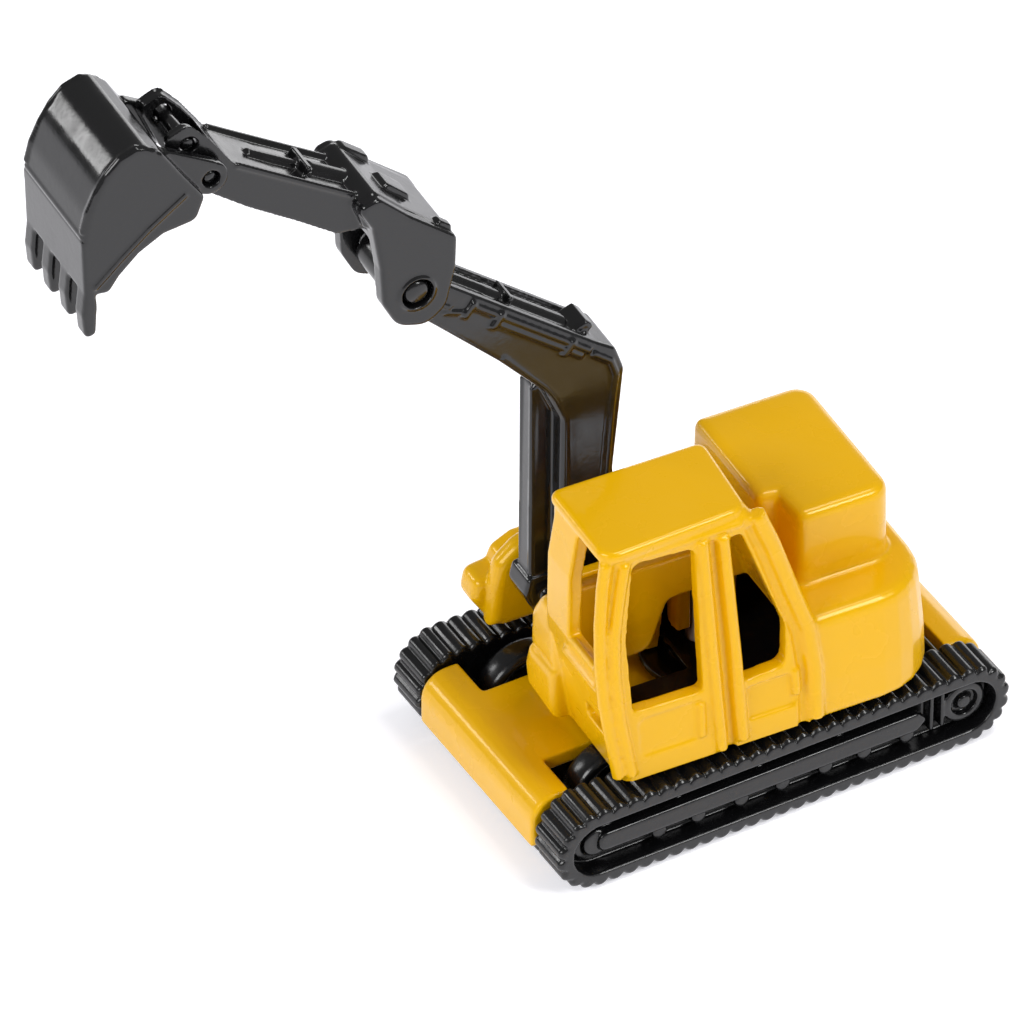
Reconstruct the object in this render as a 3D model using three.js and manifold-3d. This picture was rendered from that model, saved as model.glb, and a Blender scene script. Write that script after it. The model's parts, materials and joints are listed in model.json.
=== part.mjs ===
// Toy excavator: a die-cast pocket toy with a turning house, a three-piece plastic arm and hidden
// rolling wheels between two moulded tracks. Millimetres, +Z up, the nose points along -Y, and the
// cab is on the +X side. Inside the assembly group the origin is the middle of the tracks on the
// ground; the group is moved back so that the model's own origin is below the middle of its box.
import * as THREE from 'three';
import { mergeVertices } from 'three/addons/utils/BufferGeometryUtils.js';
import Module from 'manifold-3d';

const wasm = await Module();
wasm.setup();

// Driving dimensions. The wheels reach the ground and hold the tracks a hair above it.
const gap = 0.3;                 // clearance between pieces that touch or turn on each other
const boxCentreY = -17.3;        // middle of the rest-pose box along Y, raised arm included
const houseTurn = -3;            // degrees that the house stands turned from straight ahead

const track = { inner: 10, outer: 14.5, halfLength: 22.6, height: 8.4, lift: 0.15, belt: 1.7, recess: 1.3 };
const lug = { count: 66, depth: 0.35 };
const wheel = { radius: 4.4, bore: 0.9, inner: 6.05, outer: 8.8, axleY: 13.4, axleZ: 4.4 };
const axle = { radius: 0.6, halfLength: 9.2 };

const plate = { halfWidth: 9.7, halfLength: 22.5, top: 7.7, thickness: 1.5, noseRadius: 3 };
const notch = { neck: 5.2, near: 8.1, far: 18.6 };
const pan = { halfWidth: 9.5, halfLength: 21.6, bottom: 1.1, thickness: 1.1 };
const rivet = { shank: 1.5, head: 2.6, headHeight: 0.9, top: 16.5 };
const panRivet = { shank: 0.8, head: 1.6, y: 16.8 };

const house = { halfWidth: 13.8, floorZ: 9.3, rearY: 16.4, deckZ: 20.6, frontY: -6, wall: 1.3 };
const lean = 0.085;              // inward lean of the side walls, mm for each mm of height
const cab = { farX: 2.3, roofZ: 33.6 };
const hood = { top: 27.2, rearY: 13.4 };
const slot = { far: -9.3, near: -2.3, rear: -5 };
const boxFrontY = -15.2;         // front of the box beyond the boom
const lobeFrontY = -15.2;        // front of the lobe between cab and boom
const cheek = 1.3;               // thickness of the slot's side walls
const cheekTop = { near: 20, far: 17.3 };
const insert = { bottom: 9.6, thickness: 1, ringRadius: 5.6 };
const boss = { radius: 3, bottom: 12 };

const armX = -5.8;               // middle plane of boom, stick and bucket
const boomPivot = { y: -9.6, z: 14.6 };
const stickPivot = { y: -26.6, z: 56.6 };
const bucketPivot = { y: -45, z: 74.9 };
const linkPin = { y: -46.3, z: 77.9 };
const pin = { boom: 0.8, stick: 1.1, bucket: 0.6, link: 0.6 };

const boomHalf = 2.8;            // half widths along X
const footHalf = 3.1;
const ramHalf = 1.25;
const stickHalf = 3;
const headHalf = 4.7;
const headSlotHalf = 3.15;
const bucketHalf = 5.7;
const forkInner = 2;             // half the gap between the stick's fork plates
const ear = { inner: 3.3, outer: 4.2, radius: 1.5, sweep: 5.9 };
const tooth = { count: 4, width: 1.6, pitch: 3.2 };

// Materials
function finish(color, roughness, metalness) {
  return new THREE.MeshStandardMaterial({ color, roughness, metalness });
}

const yellowPaint = finish(0xe6ac00, 0.25, 0);
const blackPlastic = finish(0x17181a, 0.35, 0);
const trackPlastic = finish(0x101112, 0.45, 0);
const steel = finish(0xa8aaac, 0.3, 1);

// A closed shape through corners [a, b, radius]; the radius rounds that corner.
function outline(corners) {
  const shape = new THREE.Shape();
  corners.forEach(([a, b, radius = 0], i) => {
    const corner = new THREE.Vector2(a, b);
    const [beforeA, beforeB] = corners.at(i - 1);
    const [afterA, afterB] = corners[(i + 1) % corners.length];
    const back = new THREE.Vector2(beforeA, beforeB).sub(corner);
    const onward = new THREE.Vector2(afterA, afterB).sub(corner);
    const reach = Math.min(radius, 0.48 * back.length(), 0.48 * onward.length());
    const start = back.setLength(reach).add(corner);
    const end = onward.setLength(reach).add(corner);
    if (i === 0) shape.moveTo(start.x, start.y);
    else shape.lineTo(start.x, start.y);
    if (radius > 0) shape.quadraticCurveTo(corner.x, corner.y, end.x, end.y);
  });
  return shape;
}

// The same corners moved inward by a distance; corners run anticlockwise.
function inset(corners, distance) {
  return corners.map(([a, b, radius = 0], i) => {
    const before = corners.at(i - 1);
    const after = corners[(i + 1) % corners.length];
    const along = new THREE.Vector2(a - before[0], b - before[1]).normalize();
    const onward = new THREE.Vector2(after[0] - a, after[1] - b).normalize();
    const inward = new THREE.Vector2(-along.y - onward.y, along.x + onward.x);
    inward.multiplyScalar(distance / (1 + along.dot(onward)));
    return [a + inward.x, b + inward.y, Math.max(radius - distance, 0)];
  });
}

function solid(geometry) {
  geometry.deleteAttribute('normal');
  geometry.deleteAttribute('uv');
  const merged = mergeVertices(geometry.index ? geometry.toNonIndexed() : geometry, 1e-5);
  return new wasm.Manifold(new wasm.Mesh({
    numProp: 3,
    vertProperties: new Float32Array(merged.attributes.position.array),
    triVerts: new Uint32Array(merged.index.array),
  }));
}

const join = (...solids) => solids.reduce((sum, piece) => sum.add(piece));
const cut = (body, ...tools) => tools.reduce((rest, tool) => rest.subtract(tool), body);

// Turns a shape drawn in (Y, Z) and extruded along its own normal into one extruded along X.
const alongX = new THREE.Matrix4().set(0, 0, 1, 0, 1, 0, 0, 0, 0, 1, 0, 0, 0, 0, 0, 1);

function extruded(corners, depth) {
  return new THREE.ExtrudeGeometry(outline(corners), { depth, bevelEnabled: false, curveSegments: 4 });
}

function slabX(corners, x0, x1) {
  return extruded(corners, x1 - x0).translate(0, 0, x0).applyMatrix4(alongX);
}

function slabZ(corners, z0, z1) {
  return extruded(corners, z1 - z0).translate(0, 0, z0);
}

function block(x0, x1, y0, y1, z0, z1) {
  const box = new THREE.BoxGeometry(x1 - x0, y1 - y0, z1 - z0);
  return solid(box.translate((x0 + x1) / 2, (y0 + y1) / 2, (z0 + z1) / 2));
}

function rodX(radius, x0, x1, y, z, sides = 24) {
  const rod = new THREE.CylinderGeometry(radius, radius, x1 - x0, sides).rotateZ(Math.PI / 2);
  return solid(rod.translate((x0 + x1) / 2, y, z));
}

function rodZ(radius, z0, z1, x, y, sides = 32) {
  const rod = new THREE.CylinderGeometry(radius, radius, z1 - z0, sides).rotateX(Math.PI / 2);
  return solid(rod.translate(x, y, (z0 + z1) / 2));
}

// A profile of [radius, height] turned about X.
function turnedX(profile) {
  const points = profile.map(([radius, height]) => new THREE.Vector2(radius, height));
  return new THREE.LatheGeometry(points, 40).rotateZ(-Math.PI / 2);
}

// Walls far from the middle lean inward as they rise, so that the casting leaves its mould.
function leaning(geometry) {
  const position = geometry.attributes.position;
  for (let i = 0; i < position.count; i += 1) {
    const x = position.getX(i);
    const rise = position.getZ(i) - house.floorZ;
    if (Math.abs(x) > house.halfWidth - 2 * house.wall) position.setX(i, x - Math.sign(x) * lean * rise);
  }
  return solid(geometry);
}

function piece(name, body, material) {
  const { vertProperties, triVerts } = body.getMesh();
  const geometry = new THREE.BufferGeometry();
  geometry.setAttribute('position', new THREE.BufferAttribute(vertProperties, 3));
  geometry.setIndex(new THREE.BufferAttribute(triVerts, 1));
  geometry.computeVertexNormals();
  const mesh = new THREE.Mesh(geometry, material);
  mesh.name = name;
  return mesh;
}

function makeChassisPlate() {
  const { halfWidth: w, halfLength: l, top, thickness, noseRadius: r } = plate;
  const { neck, near, far } = notch;
  const quarter = [[w, 0], [w, near], [neck, near], [neck, far], [w, far], [w, l - r]];
  const mirrored = (sx, sy) => quarter.map(([x, y]) => [sx * x, sy * y]);
  const plan = [
    ...mirrored(1, 1), ...mirrored(-1, 1).reverse(), ...mirrored(-1, -1), ...mirrored(1, -1).reverse(),
  ];
  const unique = plan.filter(([x, y], i) => i === 0 || x !== plan[i - 1][0] || y !== plan[i - 1][1]);
  unique.pop();
  const nose = [
    [-far, top], [-l, top, r], [-l + 0.8, 2.6], [-l + 0.8 + thickness, 2.6],
    [-l + thickness, top - thickness, r - thickness], [-far, top - thickness],
  ];
  const noseBar = solid(slabX(nose, -w, w));
  const tailBar = solid(slabX(nose, -w, w).rotateZ(Math.PI));
  const postFoot = pan.bottom + pan.thickness + gap;
  const posts = [-1, 1].map((end) => rodZ(1.7, postFoot, top - 0.1, 0, end * panRivet.y));
  const holes = [-1, 1].map((end) => rodZ(panRivet.shank + gap, 0, top - 1, 0, end * panRivet.y, 16));
  const body = join(solid(slabZ(unique, top - thickness, top)), noseBar, tailBar, ...posts);
  return piece('chassis_plate', cut(body, rodZ(rivet.shank + gap, 0, top + 1, 0, 0), ...holes), yellowPaint);
}

function makeBasePan() {
  const { halfWidth: w, halfLength: l, bottom, thickness } = pan;
  const floor = solid(slabZ([[-w, -l, 1], [w, -l, 1], [w, l, 1], [-w, l, 1]], bottom, bottom + thickness));
  const wells = [];
  const cradles = [];
  const tongues = [];
  for (const side of [-1, 1]) {
    for (const end of [-1, 1]) {
      const [x0, x1] = [side * (wheel.inner - 0.5), side * (wheel.outer + 0.3)].sort((a, b) => a - b);
      const y = end * wheel.axleY;
      wells.push(block(x0, x1, y - wheel.radius - 0.4, y + wheel.radius + 0.4, 0, 4));
      const x = side * 4;
      const ceiling = plate.top - plate.thickness - gap;
      const cradle = block(x - 0.8, x + 0.8, y - 1.6, y + 1.6, bottom + 0.5, ceiling);
      cradles.push(cut(cradle, rodX(axle.radius + gap, x - 1, x + 1, y, wheel.axleZ, 16)));
      const [t0, t1] = [side * (w - 1), side * (track.inner + 1.2)].sort((a, b) => a - b);
      tongues.push(block(t0, t1, end * 5 - 1, end * 5 + 1, bottom, bottom + 2.4));
    }
  }
  const heads = [-1, 1].map((end) => rodZ(panRivet.shank + gap, 0, 4, 0, end * panRivet.y, 16));
  return piece('base_pan', cut(join(cut(floor, ...wells), ...cradles, ...tongues), ...heads), blackPlastic);
}

// Outline of a track's side: two straights and two half circles, pushed out by a distance.
function trackLoop(out, points, ripple = 0) {
  const radius = track.height / 2;
  const straight = 2 * (track.halfLength - radius);
  const around = Math.PI * radius;
  const total = 2 * (straight + around);
  return Array.from({ length: points }, (_, i) => {
    const travel = (i / points) * total;
    const half = total / 2;
    const side = travel < half ? 1 : -1;
    const along = travel % half;
    const bend = Math.max(along - straight, 0) / radius;
    const reach = radius + out - (ripple && i % 4 >= 2 ? ripple : 0);
    const y = Math.min(along, straight) - straight / 2;
    return [side * (y + reach * Math.sin(bend)), radius - side * reach * Math.cos(bend)];
  });
}

function makeTrack(name, side) {
  const { inner, outer, height, lift, belt, recess, halfLength } = track;
  const [x0, x1] = [side * inner, side * outer].sort((a, b) => a - b);
  const [r0, r1] = [side * (outer - recess), side * (outer + 1)].sort((a, b) => a - b);
  const [b0, b1] = [side * (outer - recess - 0.2), side * (outer - 0.4)].sort((a, b) => a - b);
  const body = solid(slabX(trackLoop(0, lug.count * 4, lug.depth), x0, x1));
  const hollow = solid(slabX(trackLoop(-belt, 48), r0, r1));
  const beam = solid(slabX([[-18.2, 3.5, 0.6], [13.4, 3.5], [13.4, 5.5], [-18.2, 5.5, 0.6]], b0, b1));
  const sprocket = rodX(1.8, b0, b1, halfLength - height / 2, height / 2 + 0.1);
  const pockets = [-5, 5].map((y) => {
    const [p0, p1] = [side * (inner - 1), side * (inner + 1.5)].sort((a, b) => a - b);
    return block(p0, p1, y - 1 - gap, y + 1 + gap, pan.bottom - gap, pan.bottom + 2.4 + gap);
  });
  const loop = join(cut(body, hollow), beam, sprocket).translate(0, 0, lift);
  return piece(name, cut(loop, ...pockets), trackPlastic);
}

function makeWheelSet(end, y) {
  const set = new THREE.Group();
  set.position.set(0, y, wheel.axleZ);
  set.add(piece(`${end}_axle`, rodX(axle.radius, -axle.halfLength, axle.halfLength, 0, 0, 16), steel));
  const { radius, bore, inner, outer } = wheel;
  const width = outer - inner;
  const tyre = [
    [bore, 0], [radius - 0.5, 0], [radius, 0.5], [radius, width - 0.5], [radius - 0.5, width],
    [bore, width], [bore, 0],
  ];
  for (const [name, x] of [['left', inner], ['right', -outer]]) {
    set.add(piece(`wheel_${end}_${name}`, solid(turnedX(tyre).translate(x, 0, 0)), blackPlastic));
  }
  return set;
}

function makeSlewRivet() {
  const headTop = plate.top - plate.thickness - gap;
  const head = rodZ(rivet.head, headTop - rivet.headHeight, headTop, 0, 0);
  return piece('slew_rivet', join(head, rodZ(rivet.shank, headTop - 0.5, rivet.top, 0, 0)), steel);
}

function makePanRivet(name, y) {
  const head = rodZ(panRivet.head, pan.bottom - gap - 0.6, pan.bottom - gap, 0, y, 16);
  return piece(name, join(head, rodZ(panRivet.shank, pan.bottom - 0.5, plate.top - 2, 0, y, 16)), steel);
}

// Side view of the cab, nose to the left: corners [y, z, radius], anticlockwise.
const cabSide = [
  [-14.8, house.floorZ], [3.9, house.floorZ], [3.9, 19.4, 2], [0, 31.6, 1], [-1.6, cab.roofZ, 1],
  [-15.3, cab.roofZ - 0.1, 1], [-16.7, 25.6, 2], [-16.6, 21.1, 2], [-15.4, 13.4, 2],
];

function houseBlocks(wall) {
  const bottom = wall > 0 ? house.floorZ - 1 : house.floorZ;
  const w = house.halfWidth;
  const mainPlan = [[w, house.frontY], [w, house.rearY, 6], [-w, house.rearY, 6], [-w, house.frontY]];
  const hoodPlan = [
    [7, 5.4, 0.5], [7, hood.rearY, 2], [-7.4, hood.rearY, 2], [-7.4, 3.2, 0.5], [4.3, 3.2, 0.5], [4.3, 5.4],
  ];
  const boxPlan = [
    [slot.far - wall, boxFrontY + wall, 1.2], [slot.far - wall, slot.rear], [-w + wall, slot.rear],
    [-w + wall, boxFrontY + wall, 1.6],
  ];
  const lobePlan = [
    [cab.farX + 1 - wall, lobeFrontY + wall], [cab.farX + 1 - wall, -12], [slot.near + wall, -12],
    [slot.near + wall, lobeFrontY + wall, 1.5],
  ];
  const cabWall = inset(cabSide, wall).map(([y, z, r]) => [y, z < house.floorZ + 2 ? bottom : z, r]);
  return join(
    leaning(slabZ(inset(mainPlan, wall), bottom, house.deckZ - wall)),
    leaning(slabX(cabWall, cab.farX + wall, w - wall)),
    solid(slabZ(inset(hoodPlan, wall), house.floorZ + 2, hood.top - wall)),
    solid(slabZ(boxPlan, bottom, cheekTop.far - wall)),
    solid(slabZ(lobePlan, bottom, cheekTop.near - wall)),
  );
}

function makeUpperBody() {
  const { floorZ, deckZ } = house;
  const shell = cut(houseBlocks(0), houseBlocks(house.wall));
  const cheeks = [
    block(slot.near, slot.near + cheek, -13.5, slot.rear + cheek, floorZ, cheekTop.near),
    block(slot.far - cheek, slot.far, -13.5, slot.rear + cheek, floorZ, cheekTop.far),
    block(slot.far - cheek, slot.near + cheek, slot.rear, slot.rear + cheek, floorZ, deckZ - 0.5),
  ];
  const post = rodZ(boss.radius, boss.bottom, deckZ - 0.5, 0, 0);
  const throat = block(slot.far, slot.near, -25, slot.rear, 0, 60);
  const doorWindow = [
    [-13.6, 17.3, 0.8], [-7.3, 17.3, 0.8], [-7.5, 30.4, 0.8], [-12.8, 30.6, 0.8], [-13.8, 24],
  ];
  const rearWindow = [[-3.9, 17, 0.6], [0.7, 17, 0.8], [0.9, 20, 0.8], [-2, 27.6, 1], [-3.6, 30.6, 0.6]];
  const farWindow = [[-13.6, 22.6, 0.8], [-2, 22.6, 0.8], [-3.6, 30.4, 0.8], [-13.2, 30.4, 0.8]];
  const windows = [
    solid(slabX(doorWindow, 8, 16)),
    solid(slabX(rearWindow, 8, 16)),
    solid(slabX(farWindow, 1, 5)),
    block(6.2, 11, -22, -10, 18.6, 31),
    block(9.3, 12, -22, -12, 14.8, 16.2),
  ];
  const body = cut(join(shell, ...cheeks, post), throat, ...windows);
  const bores = [
    rodZ(rivet.shank + gap, boss.bottom - 1, rivet.top + gap, 0, 0),
    rodX(pin.boom + gap, slot.far - cheek - 0.5, slot.near + cheek + 0.5, boomPivot.y, boomPivot.z, 16),
  ];
  return piece('upper_body', cut(body, ...bores), yellowPaint);
}

function makeHouseFloor() {
  const { bottom, thickness, ringRadius } = insert;
  const edge = house.halfWidth - house.wall - gap;
  const cabEdge = cab.farX + house.wall + gap;
  const back = slot.rear + cheek + gap;
  const plan = [
    [edge, -13.1], [edge, house.rearY - 1.7, 4.5], [-edge, house.rearY - 1.7, 4.5], [-edge, back],
    [cabEdge, back], [cabEdge, -13.1],
  ];
  const ring = rodZ(ringRadius, plate.top + gap, house.floorZ - gap, 0, 0);
  const neck = rodZ(boss.radius, plate.top + 1, bottom + 0.5, 0, 0);
  const body = join(solid(slabZ(plan, bottom, bottom + thickness)), ring, neck);
  return piece('house_floor', cut(body, rodZ(rivet.shank + gap, 0, 20, 0, 0)), blackPlastic);
}

function makePin(name, radius, halfLength, sides, material = blackPlastic) {
  return piece(name, rodX(radius, armX - halfLength, armX + halfLength, 0, 0, sides), material);
}

// Places a solid drawn in the assembly frame into a group that stands at a pivot.
const atPivot = (corners, pivot) => corners.map(([y, z, r]) => [y - pivot.y, z - pivot.z, r]);

function makeBoom() {
  const side = [
    [-12.3, 17], [-12.5, 13.4, 1], [-11, 10.8, 1], [-8, 10.8, 1], [-6.3, 13.4, 1], [-6.6, 18], [-7.1, 29],
    [-6, 39.8, 1], [-6.8, 41.9, 1], [-8.4, 43, 1], [-24.4, 57.6, 1], [-27.2, 59.5, 1], [-29.2, 57.2, 1],
    [-28.2, 54.3, 1], [-24.4, 51.1], [-17.9, 44.5], [-13.3, 39.2, 1.5], [-12.1, 36],
  ];
  const ram = [[-13.9, 16, 0.5], [-12, 16], [-12, 39], [-13.9, 39.6]];
  const foot = [
    [-13.4, 17, 0.8], [-12.8, 12.1, 1.5], [-11, 10.6, 1], [-8, 10.6, 1], [-5.9, 12.7, 1.5], [-6.6, 17],
  ];
  const barrel = [[-8.6, 42.6, 0.5], [-8.4, 43.9, 0.5], [-22.2, 55.4, 0.5], [-22.8, 54.2, 0.5]];
  const shaft = (corners, half) => solid(slabX(atPivot(corners, boomPivot), armX - half, armX + half));
  const body = join(shaft(side, boomHalf), shaft(ram, ramHalf), shaft(barrel, 1), shaft(foot, footHalf));
  const tip = { y: stickPivot.y - boomPivot.y, z: stickPivot.z - boomPivot.z };
  const holes = [
    rodX(pin.boom + gap, armX - 5, armX + 5, 0, 0, 16),
    rodX(pin.stick + gap, armX - 5, armX + 5, tip.y, tip.z, 24),
  ];
  return piece('boom', cut(body, ...holes), blackPlastic);
}

function makeStick() {
  const arm = [
    [-27, 63.4], [-33.1, 64.2], [-44.4, 72.7, 1], [-46.6, 74.6, 1], [-47.3, 77, 1], [-48.3, 79.2, 0.6],
    [-46.4, 79.8, 1], [-44.7, 77.8], [-42.5, 74.6], [-30, 66.6],
  ];
  const head = [
    [-22.8, 61, 0.6], [-27.2, 64.9, 0.6], [-30, 67.7, 0.8], [-32, 67, 0.8], [-30, 61, 1], [-29.6, 56, 1.5],
    [-28.6, 53.7, 1.3], [-26, 53, 1.2], [-24.2, 53.6, 1], [-22.9, 58],
  ];
  const barrel = [[-27.6, 64.8], [-34.6, 69.3], [-35.2, 70.4, 0.5], [-27.6, 65.8, 0.5]];
  const throat = [[-19, 62], [-21.4, 64.2], [-30.8, 60.2], [-33, 51], [-19, 49]];
  const forkGap = [[-49, 73], [-45.8, 73.2], [-43.6, 77.8], [-45, 82], [-50, 82]];
  const shaft = (corners, half) => solid(slabX(atPivot(corners, stickPivot), armX - half, armX + half));
  const beam = cut(shaft(arm, stickHalf), shaft(forkGap, forkInner));
  const body = join(cut(shaft(head, headHalf), shaft(throat, headSlotHalf)), beam, shaft(barrel, 1));
  const across = (radius, at, sides) => {
    return rodX(radius, armX - 8, armX + 8, at.y - stickPivot.y, at.z - stickPivot.z, sides);
  };
  const holes = [
    across(pin.stick + gap, stickPivot, 24),
    across(pin.bucket + gap, bucketPivot, 16),
    across(pin.link + gap, linkPin, 16),
  ];
  return piece('stick', cut(body, ...holes), blackPlastic);
}

function makeBucket() {
  const side = [
    [-54.9, 67.9, 0.6], [-52.2, 70.6], [-50, 71.8], [-47, 72.4, 1], [-46.6, 74.4], [-48.5, 77.8, 0.5],
    [-50, 79.9, 0.5], [-52, 81.3, 1], [-54, 80.9, 1.5], [-56, 77.6, 2], [-57.3, 74, 0.8], [-57.1, 68, 0.4],
  ];
  const cavity = [
    [-56, 66], [-46, 66], [-42, 72], [-48.8, 75.4], [-50.6, 78.4, 1], [-52.2, 79.9, 1], [-53.6, 79.3, 1.2],
    [-55, 76.6, 2], [-56.2, 73.6, 1],
  ];
  const earSide = [[-46, 73.8], [-44, 75.9], [-49, 79], [-50, 78.2], [-50, 74.6]];
  const shaft = (corners, x0, x1) => solid(slabX(atPivot(corners, bucketPivot), armX + x0, armX + x1));
  const ears = [[-ear.outer, -ear.inner], [ear.inner, ear.outer]].map(([x0, x1]) => {
    return join(shaft(earSide, x0, x1), rodX(ear.radius, armX + x0, armX + x1, 0, 0, 24));
  });
  const blade = [[-56.3, 69], [-57, 69], [-57.2, 63.7], [-56.4, 63.7]];
  const teeth = Array.from({ length: tooth.count }, (_, i) => {
    const middle = (i - (tooth.count - 1) / 2) * tooth.pitch;
    return shaft(blade, middle - tooth.width / 2, middle + tooth.width / 2);
  });
  const shell = cut(shaft(side, -bucketHalf, bucketHalf), shaft(cavity, -bucketHalf + 0.9, bucketHalf - 0.9));
  const throat = join(
    shaft([[-48.8, 70], [-40, 70], [-40, 82], [-48.8, 82]], -ear.inner, ear.inner),
    rodX(ear.sweep, armX - ear.inner, armX + ear.inner, 0, 0, 48),
  );
  const hole = rodX(pin.bucket + gap, armX - 8, armX + 8, 0, 0, 16);
  return piece('bucket', cut(join(shell, ...ears, ...teeth), throat, hole), blackPlastic);
}

// Assembly: undercarriage, wheel sets, house, and the arm as a chain of nested groups.
const bucketGroup = new THREE.Group();
bucketGroup.position.set(0, bucketPivot.y - stickPivot.y, bucketPivot.z - stickPivot.z);
bucketGroup.add(makeBucket());

const stickGroup = new THREE.Group();
stickGroup.position.set(0, stickPivot.y - boomPivot.y, stickPivot.z - boomPivot.z);
stickGroup.add(makeStick(), makePin('stick_pin', pin.stick, 4.6, 24), bucketGroup);
const bucketPin = makePin('bucket_pin', pin.bucket, 4, 16);
bucketPin.position.copy(bucketGroup.position);
const barPin = makePin('link_pin', pin.link, 2.9, 16);
barPin.position.set(0, linkPin.y - stickPivot.y, linkPin.z - stickPivot.z);
stickGroup.add(bucketPin, barPin);

const boomGroup = new THREE.Group();
boomGroup.position.set(0, boomPivot.y, boomPivot.z);
boomGroup.add(makeBoom(), stickGroup);

const houseGroup = new THREE.Group();
houseGroup.rotation.z = THREE.MathUtils.degToRad(houseTurn);
const boomPin = makePin('boom_pin', pin.boom, 4.6, 16, steel);
boomPin.position.copy(boomGroup.position);
houseGroup.add(makeUpperBody(), makeHouseFloor(), boomPin, boomGroup);

const assembly = new THREE.Group();
assembly.position.y = -boxCentreY;
assembly.add(
  makeChassisPlate(),
  makeBasePan(),
  makeTrack('track_left', 1),
  makeTrack('track_right', -1),
  makeSlewRivet(),
  makePanRivet('pan_rivet_front', -panRivet.y),
  makePanRivet('pan_rivet_rear', panRivet.y),
  makeWheelSet('front', -wheel.axleY),
  makeWheelSet('rear', wheel.axleY),
  houseGroup,
);

export default assembly;
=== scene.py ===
import json
import math

import bmesh
import bpy
from mathutils import Matrix, Vector


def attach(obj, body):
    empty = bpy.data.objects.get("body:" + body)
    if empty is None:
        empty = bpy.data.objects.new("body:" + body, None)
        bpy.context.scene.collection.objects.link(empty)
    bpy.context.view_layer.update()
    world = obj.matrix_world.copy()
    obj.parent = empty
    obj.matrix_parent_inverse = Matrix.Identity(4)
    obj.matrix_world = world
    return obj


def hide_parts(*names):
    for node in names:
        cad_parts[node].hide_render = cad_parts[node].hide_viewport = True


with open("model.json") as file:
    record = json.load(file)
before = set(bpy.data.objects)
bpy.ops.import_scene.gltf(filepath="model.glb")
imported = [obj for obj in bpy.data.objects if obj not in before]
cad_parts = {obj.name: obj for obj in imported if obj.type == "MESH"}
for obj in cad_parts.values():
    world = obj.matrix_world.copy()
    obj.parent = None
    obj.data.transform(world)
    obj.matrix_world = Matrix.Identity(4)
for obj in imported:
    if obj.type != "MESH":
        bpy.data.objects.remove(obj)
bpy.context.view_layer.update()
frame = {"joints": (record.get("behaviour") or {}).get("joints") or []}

# The solids below are drawn in millimetres. Their origin is on the ground below the slew axis, X is
# toward the cab side and -Y toward the nose. House and arm are drawn straight ahead and turned at
# the end by the angle that the frame's arm hinges have at rest.
MM = 0.001
joints = {joint["name"]: joint for joint in frame["joints"]}
SLEW_Y = joints["house_slew"]["pos_m"][1] / MM
hinge_x, hinge_y, _ = joints["boom_lift"]["axis"]
TURN = math.atan2(hinge_y, hinge_x)
straight = Matrix.Rotation(-TURN, 3, "Z")


def pivot(name):
    """(x, y, z) of an arm joint in the straight-ahead house, in millimetres."""
    x, y, z = joints[name]["pos_m"]
    return straight @ Vector((x / MM, y / MM - SLEW_Y, z / MM))


BOOM, STICK, BUCKET = pivot("boom_lift"), pivot("stick_swing"), pivot("bucket_curl")
ARM_X = BOOM.x
WHEEL_Y = SLEW_Y - joints["front_wheel_roll"]["pos_m"][1] / MM
WHEEL_Z = joints["front_wheel_roll"]["pos_m"][2] / MM


# Solids -------------------------------------------------------------------------------------------
NEARLY_STRAIGHT = 1.5  # half a corner's angle, in radians, above which it is left sharp
ARC_SHARE = 0.48  # the most of an edge that one corner's arc may take up


def rounded(corners, steps=6):
    """A closed outline through corners (a, b, radius), each radius as a true arc."""
    points = []
    count = len(corners)
    for i, corner in enumerate(corners):
        here = Vector(corner[:2])
        back = Vector(corners[i - 1][:2]) - here
        on = Vector(corners[(i + 1) % count][:2]) - here
        radius = corner[2] if len(corner) > 2 else 0
        half = back.angle(on) / 2
        if radius <= 0 or half > NEARLY_STRAIGHT:
            points += [here] * (steps + 1)
            continue
        reach = min(radius / math.tan(half), ARC_SHARE * back.length, ARC_SHARE * on.length)
        radius = reach * math.tan(half)
        middle = here + (back.normalized() + on.normalized()).normalized() * radius / math.sin(half)
        start = here + back.normalized() * reach - middle
        end = here + on.normalized() * reach - middle
        sweep = start.angle_signed(end)
        for k in range(steps + 1):
            turn = Matrix.Rotation(-sweep * k / steps, 2)
            points.append(middle + turn @ start)
    return points


def inset(corners, distance):
    """The same corners moved inward; corners run anticlockwise."""
    moved = []
    count = len(corners)
    for i, corner in enumerate(corners):
        here = Vector(corner[:2])
        along = (here - Vector(corners[i - 1][:2])).normalized()
        onward = (Vector(corners[(i + 1) % count][:2]) - here).normalized()
        aside = Vector((-along.y - onward.y, along.x + onward.x))
        inward = aside * distance / (1 + along.dot(onward))
        radius = corner[2] if len(corner) > 2 else 0
        moved.append((*(here + inward), max(radius - distance, 0)))
    return moved


def as_object(bm, name="solid"):
    bmesh.ops.remove_doubles(bm, verts=bm.verts, dist=1e-5)
    bmesh.ops.recalc_face_normals(bm, faces=bm.faces)
    mesh = bpy.data.meshes.new(name)
    bm.to_mesh(mesh)
    bm.free()
    obj = bpy.data.objects.new(name, mesh)
    bpy.context.scene.collection.objects.link(obj)
    return obj


def skin(rings):
    """A closed solid through rings of 3-D points, capped at both ends."""
    bm = bmesh.new()
    rows = [[bm.verts.new(point) for point in ring] for ring in rings]
    for low, high in zip(rows, rows[1:]):
        for i in range(len(low)):
            j = (i + 1) % len(low)
            bm.faces.new((low[i], low[j], high[j], high[i]))
    bm.faces.new(rows[0])
    bm.faces.new(rows[-1])
    return as_object(bm)


PLACE = {
    "x": lambda a, b, h: (h, a, b),
    "y": lambda a, b, h: (a, h, b),
    "z": lambda a, b, h: (a, b, h),
}


def loft(corners, axis, levels):
    """An outline carried along an axis through levels (height, inset)."""
    place = PLACE[axis]
    return skin([[place(p.x, p.y, h) for p in rounded(inset(corners, d))] for h, d in levels])


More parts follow.
